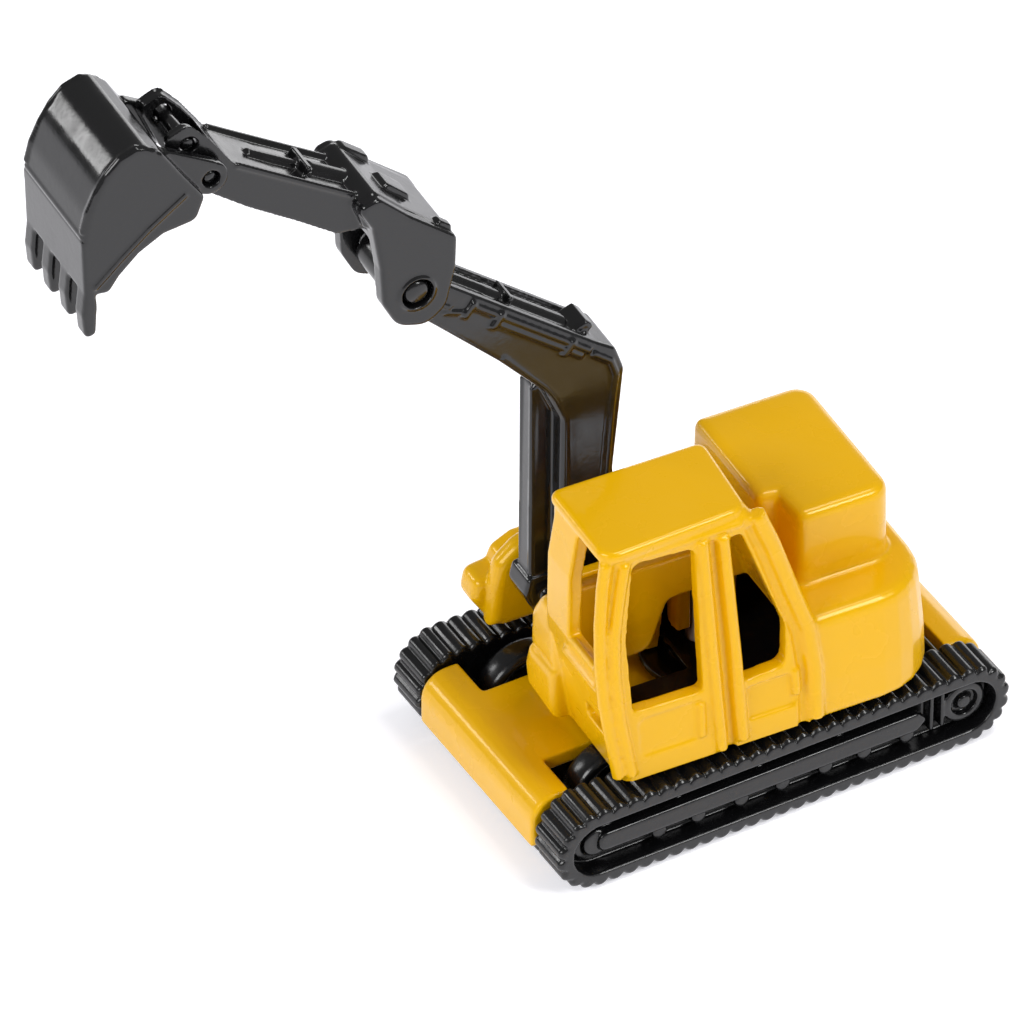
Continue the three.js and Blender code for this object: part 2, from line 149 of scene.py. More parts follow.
def slab(corners, axis, low, high, soft=0.0):
    """An outline with thickness; soft rounds its two rims."""
    if soft <= 0:
        return loft(corners, axis, [(low, 0), (high, 0)])
    turns = (0, 0.4, 0.8, 1.2, math.pi / 2)
    bend = [(soft * (1 - math.cos(t)), soft * (1 - math.sin(t))) for t in turns]
    rise = [(low + up, side) for up, side in bend]
    fall = [(high - up, side) for up, side in reversed(bend)]
    return loft(corners, axis, rise + fall)


def block(x0, x1, y0, y1, z0, z1, soft=0.0):
    return slab([(y0, z0), (y1, z0), (y1, z1), (y0, z1)], "x", x0, x1, soft)


def round_outline(y, z, radius, count=32):
    turns = [2 * math.pi * k / count for k in range(count)]
    return [(y + radius * math.cos(t), z + radius * math.sin(t)) for t in turns]


def rod(radius, axis, low, high, a, b, soft=0.0):
    return slab(round_outline(a, b, radius), axis, low, high, soft)


def lathe(profile, x, y, z, axis="x", sides=64):
    """A closed profile of (radius, height) turned about an axis through a place."""
    place = PLACE[axis]
    middle = Vector((x, y, z))
    bm = bmesh.new()
    rows = []
    for k in range(sides):
        c, s = math.cos(2 * math.pi * k / sides), math.sin(2 * math.pi * k / sides)
        points = [Vector(place(r * c, r * s, h)) + middle for r, h in profile]
        rows.append([bm.verts.new(point) for point in points])
    for k, row in enumerate(rows):
        after = rows[(k + 1) % sides]
        for i in range(len(row)):
            j = (i + 1) % len(row)
            bm.faces.new((row[i], row[j], after[j], after[i]))
    return as_object(bm)


def bead(points, radius, sides=10):
    """A round bar through points, with closed ends."""
    path = [Vector(point) for point in points]
    rings = []
    for i, point in enumerate(path):
        along = (path[min(i + 1, len(path) - 1)] - path[max(i - 1, 0)]).normalized()
        side = along.cross(Vector((0.3, 0.2, 1))).normalized()
        up = side.cross(along)
        turns = [2 * math.pi * k / sides for k in range(sides)]
        rings.append([point + radius * (side * math.cos(t) + up * math.sin(t)) for t in turns])
    return skin(rings)


def apply(obj):
    """Bakes an object's modifiers into its mesh."""
    depsgraph = bpy.context.evaluated_depsgraph_get()
    mesh = bpy.data.meshes.new_from_object(obj.evaluated_get(depsgraph))
    obj.modifiers.clear()
    obj.data = mesh
    return obj


def combine(operation, body, tools):
    for tool in tools:
        step = body.modifiers.new(operation, "BOOLEAN")
        step.operation = operation
        step.solver = "MANIFOLD"
        step.object = tool
    apply(body)
    for tool in tools:
        bpy.data.objects.remove(tool)
    return body


def join(body, *more):
    return combine("UNION", body, more)


def cut(body, *tools):
    return combine("DIFFERENCE", body, tools)


def cast(obj, voxel, passes):
    """Rounds every edge as a casting or moulding has it: an even fine mesh, relaxed."""
    remesh = obj.modifiers.new("even", "REMESH")
    remesh.mode = "VOXEL"
    remesh.voxel_size = voxel
    relax = obj.modifiers.new("relax", "SMOOTH")
    relax.factor = 0.5
    relax.iterations = passes
    return apply(obj)


def bend_mesh(obj, move):
    for vertex in obj.data.vertices:
        vertex.co = move(vertex.co)
    return obj


# Materials ----------------------------------------------------------------------------------------
def surface(name, color, rough, grain, depth, **sockets):
    """A principled surface with uneven gloss and a fine skin; grain is its size in metres."""
    material = bpy.data.materials.new(name)
    material.use_nodes = True
    nodes, links = material.node_tree.nodes, material.node_tree.links
    shader = nodes["Principled BSDF"]
    shader.inputs["Base Color"].default_value = (*color, 1)
    for socket, value in sockets.items():
        shader.inputs[socket.replace("_", " ")].default_value = value
    coordinates = nodes.new("ShaderNodeTexCoord")
    patches = nodes.new("ShaderNodeTexNoise")
    patches.inputs["Scale"].default_value = 0.25 / grain
    patches.inputs["Detail"].default_value = 4
    spread = nodes.new("ShaderNodeMapRange")
    spread.inputs["From Min"].default_value = 0.3
    spread.inputs["From Max"].default_value = 0.7
    spread.inputs["To Min"].default_value = rough[0]
    spread.inputs["To Max"].default_value = rough[1]
    fine = nodes.new("ShaderNodeTexNoise")
    fine.inputs["Scale"].default_value = 1 / grain
    fine.inputs["Detail"].default_value = 3
    bump = nodes.new("ShaderNodeBump")
    bump.inputs["Strength"].default_value = 1
    bump.inputs["Distance"].default_value = depth
    links.new(coordinates.outputs["Object"], patches.inputs["Vector"])
    links.new(coordinates.outputs["Object"], fine.inputs["Vector"])
    links.new(patches.outputs["Fac"], spread.inputs["Value"])
    links.new(spread.outputs["Result"], shader.inputs["Roughness"])
    links.new(fine.outputs["Fac"], bump.inputs["Height"])
    links.new(bump.outputs["Normal"], shader.inputs["Normal"])
    return material


MATERIALS = {
    "yellow_paint": surface(
        "yellow_enamel", (0.78, 0.42, 0.0), (0.22, 0.34), 0.0014, 0.00002,
        Specular_Tint=(1, 0.8, 0.3, 1), Coat_Weight=0.24, Coat_Roughness=0.03,
    ),
    "arm_plastic": surface("gloss_black", (0.006, 0.006, 0.0065), (0.1, 0.22), 0.0005, 0.000008),
    "track_plastic": surface("satin_black", (0.004, 0.004, 0.0045), (0.16, 0.3), 0.0004, 0.000012),
    "steel": surface("drawn_steel", (0.5, 0.51, 0.52), (0.25, 0.4), 0.0003, 0.000004, Metallic=1.0),
}


def finished(obj, name, body, slot, nodes, turned=False):
    """Names a piece, sets it in the frame and says what it rides on and replaces."""
    turn = Matrix.Rotation(TURN if turned else 0, 4, "Z")
    matrix = Matrix.Scale(MM, 4) @ Matrix.Translation((0, SLEW_Y, 0)) @ turn
    obj.data.transform(matrix)
    obj.name = obj.data.name = name
    obj.data.materials.clear()
    obj.data.materials.append(MATERIALS[slot])
    obj.data.polygons.foreach_set("use_smooth", [True] * len(obj.data.polygons))
    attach(obj, body)
    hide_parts(*nodes)


# House casting ------------------------------------------------------------------------------------
# LEAN is how far a side wall leans inward for each millimetre of height.
RIM_Z, HALF, LEAN, WALL = 9.3, 13.8, 0.085, 1.3
DECK_Z, HOOD_Z, ROOF_Z = 19.8, 27.3, 33.3
BELOW = 7  # where cutters that open the underside start
CAB_FAR_X = 2.3
SLOT_FAR, SLOT_NEAR, SLOT_REAR = -9.3, -2.3, -5.0
SLOT_TOP = DECK_Z - 0.4
BOSS_RADIUS, BOSS_BORE, RIVET_BORE = 3, 1.85, 1.8

HULL = [(-HALF, -5), (HALF, -5), (HALF, 17, 6.4), (-HALF, 17, 6.4)]
HOOD = [
    (-8, 2.9, 0.8), (4.3, 2.9, 0.8), (4.6, 4.6, 0.5), (8.2, 4.9, 1), (8.2, 14.2, 2), (-8, 14.2, 2),
]
CAB = [
    (-14.7, RIM_Z), (4.2, RIM_Z), (4.2, 15), (3.6, 19.3), (-1.7, ROOF_Z, 1.2), (-15.5, ROOF_Z, 1.1),
    (-16.4, 27.5, 6), (-16.5, 21), (-15.4, 13.4),
]


def side_x(z):
    """X of the cab's near side at a height."""
    return HALF - LEAN * (z - RIM_Z)


def lean_in(co):
    """Moves a point near the cab side inward with its height."""
    share = min(max((co.x - 8) / 5, 0), 1)
    return Vector((co.x - share * LEAN * max(co.z - RIM_Z, 0), co.y, co.z))


def cab_solid(shrink):
    """The cab as a solid, or the room inside it when its walls are taken off."""
    if shrink > 0:
        corners = inset(CAB, shrink)
        corners[0], corners[1] = (corners[0][0], BELOW), (corners[1][0], BELOW)
        return bend_mesh(slab(corners, "x", CAB_FAR_X + shrink, HALF - shrink), lean_in)
    near, far = HALF, CAB_FAR_X
    levels = [
        (far, 0.5), (far + 0.5, 0), (near - 1, 0), (near - 0.5, 0.12), (near - 0.15, 0.4),
        (near, 0.8),
    ]
    body = loft(CAB, "x", levels)
    for vertex in body.data.vertices:
        if vertex.co.z < RIM_Z + 1:
            vertex.co.z = RIM_Z
    return bend_mesh(body, lean_in)


def hull_solid(shrink):
    """The deck's solid, or the room inside it when its walls are taken off."""
    if shrink > 0:
        return loft(HULL, "z", [(BELOW, shrink), (RIM_Z, shrink), (DECK_Z - shrink, shrink + 1)])
    levels = [
        (RIM_Z, 0.15), (RIM_Z + 0.4, 0), (13, 0.15), (16.5, 0.5), (18.7, 0.75), (19.35, 1),
        (19.68, 1.35), (DECK_Z, 1.9),
    ]
    return loft(HULL, "z", levels)


def side_bead(points, radius, sink=0.1):
    """A bar on the cab's near side through (y, z) points, sunk into the wall."""
    return bead([(side_x(z) - sink, y, z) for y, z in points], radius)


def front_y(z):
    """Y of the cab's front at a height."""
    return -14.8 - 1.8 * math.sin(math.pi / 2 * min((z - RIM_Z) / 12, 1))


def slot_rear_wall():
    return block(SLOT_FAR - WALL, SLOT_NEAR + WALL, SLOT_REAR, SLOT_REAR + WALL, RIM_Z, SLOT_TOP)


def make_house():
    hood_levels = [
        (18, -0.6), (19.6, -0.5), (20.1, -0.2), (21, 0), (26.4, 0.1), (26.95, 0.3), (27.2, 0.65),
        (HOOD_Z, 1.1),
    ]
    hood = loft(HOOD, "z", hood_levels)
    hood_room = loft(HOOD, "z", [(12, 1.3), (HOOD_Z - 1.4, 1.5)])
    far_box = slab(
        [
            (-4, RIM_Z), (-4, 16.4), (-11.8, 16.4, 1.2), (-13.8, 15.4, 1.2), (-14.4, 13.8, 1),
            (-14.6, RIM_Z),
        ],
        "x", -13.5, SLOT_FAR, 0.5,
    )
    far_bumper = slab(
        [(-13, 14.4), (-16.4, 13.9, 1), (-16.8, 11.9, 1), (-15.2, 9.4, 1), (-12, 9.4)],
        "x", -13.7, -10.4, 0.9,
    )
    far_rib = slab(
        [(-4, RIM_Z), (-4, 18), (-12.6, 18, 2.5), (-14.9, 16, 2), (-15.4, 13.5, 2), (-15.7, RIM_Z)],
        "x", SLOT_FAR - 2.1, SLOT_FAR, 0.9,
    )
    upper_lobe = slab(
        [(-1.2, 14.4, 0.6), (4, 14.4), (4, 21.3), (0.7, 21.2, 2), (-1, 18.4, 2)],
        "y", -16.2, -8, 0.9,
    )
    lower_lobe = slab(
        [(-1.2, RIM_Z + 0.6, 0.5), (4, RIM_Z + 0.2), (4, 14.9), (-1, 14.7, 0.8), (-1.7, 12.2, 0.8)],
        "y", -16.5, -8, 0.9,
    )
    slot_near_wall = block(SLOT_NEAR, SLOT_NEAR + WALL, -13.6, SLOT_REAR + WALL, RIM_Z, 20, 0.3)
    roof = slab(
        [(2, -16, 0.9), (12.3, -16, 1.6), (11.6, -1.9, 1.6), (2, -1.2, 0.9)],
        "z", ROOF_Z - 0.9, ROOF_Z + 0.35, 0.5,
    )
    shell = join(
        hull_solid(0), cab_solid(0), hood, far_box, far_rib, far_bumper, upper_lobe, lower_lobe,
        slot_near_wall, slot_rear_wall(),
    )
    room = join(hull_solid(WALL), hood_room)
    far_room = block(-12.3, SLOT_FAR - 1.1, -12.4, 0, 8, 15)
    lobe_room = block(-0.9, 4, -13.6, 0, 8, 18.9)
    shell = cut(shell, room, far_room, lobe_room)
    far_wall = slab(
        [(-15.6, 13.4), (4, 13.4), (2, 19), (-1.2, 32.6), (-15.6, 32.6)],
        "x", CAB_FAR_X, CAB_FAR_X + WALL,
    )
    boss = rod(BOSS_RADIUS, "z", 12, SLOT_TOP, 0, 0)
    shell = cut(shell, cab_solid(WALL))
    shell = join(shell, far_wall, slot_rear_wall(), boss, roof)
    low_gap = slab(
        [(-14, BELOW), (6, BELOW), (6, 18.6), (-5.2, 18.6, 1), (-7, 13.5, 1.5), (-14, 13.5, 0.5)],
        "x", 1, CAB_FAR_X + 1.5,
    )
    door_window = [
        (-13.5, 16.4, 0.4), (-6.8, 16.2, 0.4), (-7.2, 31.2, 0.8), (-13, 31.6, 0.8), (-13.9, 24, 6),
    ]
    rear_window = [
        (-3.5, 15.9, 0.4), (1, 16.2, 0.9), (1.2, 20.2, 2), (-2.7, 31.2, 0.6), (-4.2, 31, 0.6),
    ]
    far_window = [(-13.7, 23, 0.6), (-2, 23, 0.6), (-3.6, 30.6, 0.6), (-13.7, 30.6, 0.6)]
    front_window = [(6.8, 21.2, 0.5), (11.9, 21.2, 0.5), (11.1, 32.1, 0.5), (6.8, 32.1, 0.5)]
    front_grille = [(8.4, 13.3, 0.2), (11.6, 13.3, 0.2), (11.6, 15, 0.2), (8.4, 15, 0.2)]
    windows = [
        slab(door_window, "x", 9, 16),
        slab(rear_window, "x", 9, 16),
        slab(far_window, "x", 1, 5),
        slab(front_window, "y", -20, -12),
        slab(front_grille, "y", -20, -12),
    ]
    throat = block(SLOT_FAR, SLOT_NEAR, -25, SLOT_REAR, 0, 60)
    panels = [
        bend_mesh(slab(corners, "x", HALF - 0.16, HALF + 1), lean_in)
        for corners in (
            [(-13, 11.4, 0.6), (-6.5, 11.4, 0.6), (-6.7, 15.5, 0.8), (-13.2, 15.5, 0.8)],
            [(-2.9, 11.6, 0.6), (2.1, 11.6, 0.6), (2.1, 15.2, 0.8), (-3, 15.2, 0.8)],
        )
    ]
    front_groove = [(-14.5, 9), (-15.3, 16), (-15.7, 20.7), (-15.6, 25.1), (-15, 29.5), (-14.6, 32)]
    rear_groove = [(2.6, 9), (2.6, 15), (2, 19.3), (0.4, 24.1), (-1.2, 29.2), (-2.1, 31.6)]
    grooves = [
        side_bead(front_groove, 0.4, -0.2),
        side_bead([(-4.25, 8.8), (-4.8, 20), (-5.5, 31.4)], 0.45, -0.05),
        side_bead(rear_groove, 0.5, -0.2),
    ]
    shell = cut(shell, low_gap, throat, *windows, *panels, *grooves)
    corner = [
        (-15, 10), (-15.6, 14), (-16.1, 18), (-16.3, 22), (-16.2, 26), (-15.8, 30), (-15.4, 32.4),
    ]
    door_front = [(-13.9, 10), (-14.8, 16), (-15.1, 20.7), (-15, 25.1), (-14.3, 29.5), (-13.8, 32)]
    beads = [
        side_bead(corner, 0.6, 0.3),
        side_bead(door_front, 0.55, 0),
        side_bead([(-5.3, 9.6), (-5.9, 20), (-6.5, 31.8)], 0.6, 0),
        side_bead([(-3.2, 9.9), (-3.7, 19.4), (-4.5, 31.6)], 0.6, 0.05),
        side_bead(
            [(3.9, 9.6), (3.9, 15), (3.3, 19.3), (1.7, 24.1), (0.1, 29.2), (-1.2, 32.6)],
            0.85, 0.25,
        ),
        side_bead([(-7.1, 11.6), (-7.1, 15)], 0.42),
        side_bead([(2, 12.8), (1.9, 15.4)], 0.5),
        side_bead([(-14.2, 32.2), (-2.6, 32.2)], 0.36, 0.15),
        bead([(5.9, front_y(19) + 0.1, 19.2), (13, front_y(19) + 0.1, 19.2)], 0.3),
        bead([(7.6, front_y(21.5) + 0.2, 21.5), (12.6, front_y(21.5) + 0.2, 21.5)], 0.4),
    ]
    shell = join(shell, *beads)
    boom_bore = rod(1.1, "x", SLOT_FAR - 0.5, SLOT_NEAR + 0.5, BOOM.y, BOOM.z)
    shell = cut(shell, boom_bore, rod(BOSS_BORE, "z", 11, 16.6, 0, 0))
    cast(shell, 0.15, 7)
    finished(shell, "house_casting", "house", "yellow_paint", ["upper_body"], turned=True)


def make_house_floor():
    edge = HALF - WALL - 0.5
    cab_edge = CAB_FAR_X + WALL + 0.3
    back = SLOT_REAR + WALL + 0.3
    plan = [
        (edge, -12.9, 0.6), (edge, 14.6, 4.5), (-edge, 14.6, 4.5), (-edge, back, 0.6),
        (cab_edge, back), (cab_edge, -12.9, 0.6),
    ]
    neck = rod(BOSS_RADIUS, "z", 8.6, 10.2, 0, 0)
    ring = rod(5.6, "z", 8, 9, 0, 0, 0.3)
    floor = join(slab(plan, "z", 9.6, 10.6, 0.2), neck, ring)
    floor = cut(floor, rod(RIVET_BORE, "z", 5, 15, 0, 0))
    cast(floor, 0.2, 3)
    finished(floor, "house_floor_moulding", "house", "arm_plastic", ["house_floor"], turned=True)


# Undercarriage ------------------------------------------------------------------------------------
TRACK_IN, TRACK_OUT, TRACK_END, TRACK_HIGH, TRACK_LIFT = 10.0, 14.5, 22.6, 8.4, 0.15
BELT, LUGS, LUG_DEPTH = 1.5, 66, 0.6
SPROCKET, IDLER = (-18.3, 4.4), (18.4, 4.4)
PAN_RIVET_Y = 16.8


def track_outline(out, count, ripple=0.0):
    """Two straights and two half circles pushed out by a distance, with lugs as rounded bumps."""
    radius = TRACK_HIGH / 2
    straight = 2 * (TRACK_END - radius)
    half = straight + math.pi * radius
    points = []
    for i in range(count):
        travel = 2 * half * i / count
        side = 1 if travel < half else -1
        along = travel % half
        bend = max(along - straight, 0) / radius
        swell = abs(math.cos(math.pi * travel / (2 * half) * LUGS)) ** 0.6
        reach = radius + out - ripple * (1 - swell)
        y = min(along, straight) - straight / 2 + reach * math.sin(bend)
        rise = side * reach * math.cos(bend)
        points.append((side * y, radius + TRACK_LIFT - rise))
    return points


def between(side, low, high):
    """The ends of a stretch on one side of the middle, in rising order."""
    return sorted((side * low, side * high))


def make_track(name, side):
    place = PLACE["x"]

    def ring(x, out, ripple):
        return [place(y, z, side * x) for y, z in track_outline(out, LUGS * 12, ripple)]

    rims = [(TRACK_IN, -0.25), (TRACK_IN + 0.25, 0), (TRACK_OUT - 0.3, 0), (TRACK_OUT, -0.3)]
    loop = skin([ring(x, out, LUG_DEPTH) for x, out in rims])
    belt = track_outline(-BELT, 96)
    hollow = skin([[place(y, z, x) for y, z in belt] for x in between(side, TRACK_OUT - 2, 20)])
    loop = cut(loop, hollow)
    x0, x1 = between(side, TRACK_OUT - 2.3, TRACK_OUT - 0.35)
    inner0, inner1 = between(side, TRACK_OUT - 2.3, TRACK_OUT - 0.85)
    low0, low1 = between(side, TRACK_OUT - 2.3, TRACK_OUT - 1.4)
    beam = [
        (-18.4, 3.6, 0.8), (13.4, 3.6, 0.3), (14.4, 4.6, 0.4), (13.4, 5.6, 0.3), (-18.4, 5.6, 0.8),
    ]
    extras = [
        slab(beam, "x", x0, x1, 0.3),
        block(inner0, inner1, 14.9, 15.3, 2.6, 6.4, 0.1),
        block(inner0, inner1, 16, 16.4, 2.6, 6.4, 0.1),
        rod(2.3, "x", low0, low1, *SPROCKET, 0.3),
        rod(1.4, "x", inner0, inner1, *SPROCKET, 0.3),
        rod(2.1, "x", inner0, inner1, *IDLER, 0.3),
    ]
    roller_places = (-12.1, -8.2, -3.9, 0.2, 4.5, 8.4, 12.7)
    extras += [rod(0.75, "x", inner0, inner1, y, 2.9, 0.25) for y in roller_places]
    extras += [block(low0, low1, y - 0.35, y + 0.35, 5, 7.2, 0.15) for y in (-10, -2, 6)]
    loop = cut(join(loop, *extras), rod(1.3, "x", *between(side, TRACK_OUT - 1.5, 20), *IDLER))
    loop = join(loop, rod(0.7, "x", inner0, inner1, *IDLER, 0.2))
    cast(loop, 0.12, 1)
    finished(loop, name + "_moulding", "undercarriage", "track_plastic", [name])


def make_chassis():
    half, end, top, thick, nose = 9.7, 22.5, 7.7, 1.5, 2.9
    outer = [(-end, 2.6), (end, 2.6), (end, top, nose), (-end, top, nose)]
    inner = [
        (-end + thick, 1), (end - thick, 1), (end - thick, top - thick, 1.4),
        (-end + thick, top - thick, 1.4),
    ]
    body = slab(outer, "x", -half, half, 0.35)
    hollow = slab(inner, "x", -half - 1, half + 1)
    notches = [
        block(*between(side, 5.2, 12), *between(front, 8.1, 18.8), 0, 12)
        for side in (1, -1)
        for front in (1, -1)
    ]
    side_gap = [block(*between(side, 8.9, 12), -19.5, 19.5, 0, top - 1.4) for side in (1, -1)]
    body = cut(body, hollow, *notches, *side_gap, rod(RIVET_BORE, "z", 0, 12, 0, 0))
    cast(body, 0.17, 5)
    finished(body, "chassis_casting", "undercarriage", "yellow_paint", ["chassis_plate"])


def make_pan():
    half, end = 9.5, 21.5
    pan = slab(
        [(-half, -end, 1), (half, -end, 1), (half, end, 1), (-half, end, 1)],
        "z", 1.1, 2.3, 0.25,
    )
    wells, posts = [], []
    for side in (1, -1):
        for front in (1, -1):
            x, y = side * 4, front * WHEEL_Y
            well_length = between(front, WHEEL_Y - 5.2, WHEEL_Y + 5.2)
            wells.append(block(*between(side, 5.5, 9.2), *well_length, 0, 4))
            posts.append(block(x - 0.8, x + 0.8, y - 1.6, y + 1.6, 1.8, 3.6))
    ribs = [block(-half + 1, half - 1, y - 0.3, y + 0.3, 0.85, 1.5, 0.2) for y in (-4, 0, 4)]
    screw_holes = [rod(1.1, "z", 0, 4, 0, y) for y in (-PAN_RIVET_Y, PAN_RIVET_Y)]
    pan = cut(join(pan, *posts, *ribs), *wells, *screw_holes)
    cast(pan, 0.18, 3)
    finished(pan, "pan_moulding", "undercarriage", "track_plastic", ["base_pan"])


def make_wheels():
    radius, inner, width = 4.4, 6.05, 2.75
    profile = [
        (0.7, 0), (2, 0), (2.4, 0.45), (3.2, 0.45), (3.4, 0.05), (3.9, 0.02), (4.25, 0.2),
        (radius, 0.6), (radius, width - 0.6), (4.25, width - 0.2), (3.9, width - 0.02),
        (3.4, width - 0.05), (3.2, width - 0.5), (2.2, width - 0.5), (1.8, width), (0.7, width),
    ]
    wire = [(0, -9.2), (0.45, -9.2), (0.6, -9.05), (0.6, 9.05), (0.45, 9.2), (0, 9.2)]
    for end, front in (("front", -1), ("rear", 1)):
        body = end + "_wheel_set"
        for hand, side in (("left", 1), ("right", -1)):
            turned = [(r, side * (inner + h)) for r, h in profile]
            wheel = lathe(turned, 0, front * WHEEL_Y, WHEEL_Z, "x", 96)
            name = f"wheel_{end}_{hand}"
            finished(wheel, name + "_moulding", body, "track_plastic", [name])
        axle = lathe(wire, 0, front * WHEEL_Y, WHEEL_Z)
        finished(axle, end + "_axle_wire", body, "steel", [end + "_axle"])


def make_rivets():
    for name, y in (("pan_rivet_front", -PAN_RIVET_Y), ("pan_rivet_rear", PAN_RIVET_Y)):
        dome = [(1.6 * math.sin(t), 0.8 - 0.7 * math.cos(t)) for t in (0, 0.4, 0.8, 1.2, 1.5)]
        rivet = lathe(dome + [(0.8, 0.8), (0.8, 5.7), (0, 5.7)], 0, y, 0, "z")
        finished(rivet, name + "_turned", "undercarriage", "steel", [name])
    shank = [(0, 5), (2.3, 5), (2.6, 5.3), (2.6, 5.9), (1.5, 5.9), (1.5, 16.2), (0, 16.2)]
    rivet = lathe(shank, 0, 0, 0, "z")
    finished(rivet, "slew_rivet_turned", "undercarriage", "steel", ["slew_rivet"])


# Arm ----------------------------------------------------------------------------------------------
BOOM_HALF, STICK_HALF, BUCKET_HALF = 2.8, 3.0, 5.7
LINK = (-46.4, 77.9)


def arm_slab(corners, half, soft=0.0, middle=0.0):
    """A slab of (y, z) corners, centred on the arm's middle plane or beside it."""
    return slab(corners, "x", ARM_X + middle - half, ARM_X + middle + half, soft)


def arm_beads(points, half, radius):
    """The same bead on both sides of the arm."""
    return [bead([(ARM_X + side * half, y, z) for y, z in points], radius) for side in (1, -1)]


def along(start, end, share, off=0.0):
    """A point part of the way from start to end, moved off to the left of that line."""
    a, b = Vector(start), Vector(end)
    line = (b - a).normalized()
    return tuple(a + (b - a) * share + Vector((-line.y, line.x)) * off)


def beside(line, *places):
    """Points beside a line, each a share of its length and a distance to its left."""
    return [along(*line, share, off) for share, off in places]


def arm_bar(points, radius, sides):
    """A round bar through (y, z) points on the arm's middle plane."""
    return bead([(ARM_X, y, z) for y, z in points], radius, sides)


def arm_disc(radius, pin, middle, half, soft):
    """A round boss about a pin, off the arm's middle plane."""
    return rod(radius, "x", ARM_X + middle - half, ARM_X + middle + half, pin.y, pin.z, soft)


def arm_bore(radius, y, z):
    """A cutter for a pin, right through the arm."""
    return rod(radius, "x", -20, 5, y, z)


def make_boom():
    side = [
        (-12.3, 17), (-12.5, 13.2, 1.5), (-11, 11, 1.5), (-8, 11, 1.5), (-6.4, 13.2, 1.5),
        (-6.7, 18), (-7.1, 29), (-6.1, 39.6, 1.5), (-6.9, 42, 1), (-8.6, 43.2, 1), (-24.2, 55.8, 1),
        (-27.4, 58.9, 1.6), (-29, 56.4, 1.6), (-27.4, 53.8, 1.6), (-24.4, 51.1), (-17.9, 44.5),
        (-13.6, 39.6, 2), (-12.1, 36, 2),
    ]
    root = [
        (-13.6, 17, 0.8), (-12.9, 12.3, 1.5), (-11, 10.7, 1.5), (-8, 10.7, 1.5), (-6, 12.9, 1.5),
        (-6.6, 18),
    ]
    front_plate = [(-14.3, 16.4, 0.6), (-12, 15.8), (-12, 39.2), (-14, 39.6, 0.6)]
    clamp = [(-15, 16.8, 0.6), (-14.4, 15.2, 0.6), (-12.4, 15.2), (-12.4, 18.4), (-14.6, 18.4, 0.5)]
    top = (-8.6, 43.2), (-24.2, 55.8)
    body = join(arm_slab(side, BOOM_HALF, 0.35), arm_slab(root, 3.1, 0.3))
    groove = beside(top, (0.05, 0.35), (0.93, 0.35), (0.93, -0.3), (0.05, -0.3))
    body = cut(body, arm_slab(groove, 1.9))
    extras = [
        arm_slab(front_plate, 1.2, 0.45),
        *arm_beads([(-14.1, 18), (-14, 39)], 0.9, 0.22),
        arm_slab(clamp, 1.7, 0.3),
        arm_bar(beside(top, (0.12, 0.7), (0.62, 0.7)), 0.85, 24),
        arm_bar(beside(top, (0.6, 0.4), (0.96, 0.4)), 0.55, 20),
        arm_slab(beside(top, (0.02, 0.6), (0.02, -0.9), (0.07, -1), (0.12, 0.6)), 1.5, 0.25),
        arm_slab(beside(top, (0.48, 0.6), (0.48, -0.5), (0.51, -0.5), (0.51, 0.6)), 1.4, 0.2),
        arm_slab(beside(top, (0.86, 0.6), (0.86, -0.4), (0.89, -0.4), (0.89, 0.6)), 1.2, 0.2),
    ]
    rear_edge = beside(top, (0, 1)) + [(-7.5, 41), (-7, 39.4), (-7.4, 36), (-7.9, 29), (-7.9, 20)]
    for points, radius in (
        (beside(top, (0.02, 0.85), (0.75, 0.85)), 0.32),
        (beside(top, (0.04, 1.55), (0.55, 1.55)), 0.3),
        (rear_edge, 0.32),
        ([(-11.6, 18), (-11.7, 36), (-12.7, 38.7), (-13.6, 40.2), (-17.6, 45)], 0.16),
    ):
        extras += arm_beads(points, BOOM_HALF, radius)
    for share in (0.12, 0.55, 0.72):
        clip = beside(top, (share, 2.1), (share, 0.5), (share + 0.03, 0.5), (share + 0.03, 2.1))
        extras.append(arm_slab(clip, BOOM_HALF + 0.35, 0.12))
    extras += arm_beads([(-22.6, 52.2), (-23.9, 53.2), (-24.4, 54.6)], BOOM_HALF, 0.25)
    extras += arm_beads([(-21.4, 51.3), (-23.2, 52)], BOOM_HALF, 0.25)
    body = join(body, *extras)
    body = cut(body, arm_bore(1.2, BOOM.y, BOOM.z), arm_bore(1.4, STICK.y, STICK.z))
    cast(body, 0.14, 4)
    finished(body, "boom_moulding", "boom_arm", "arm_plastic", ["boom"], turned=True)


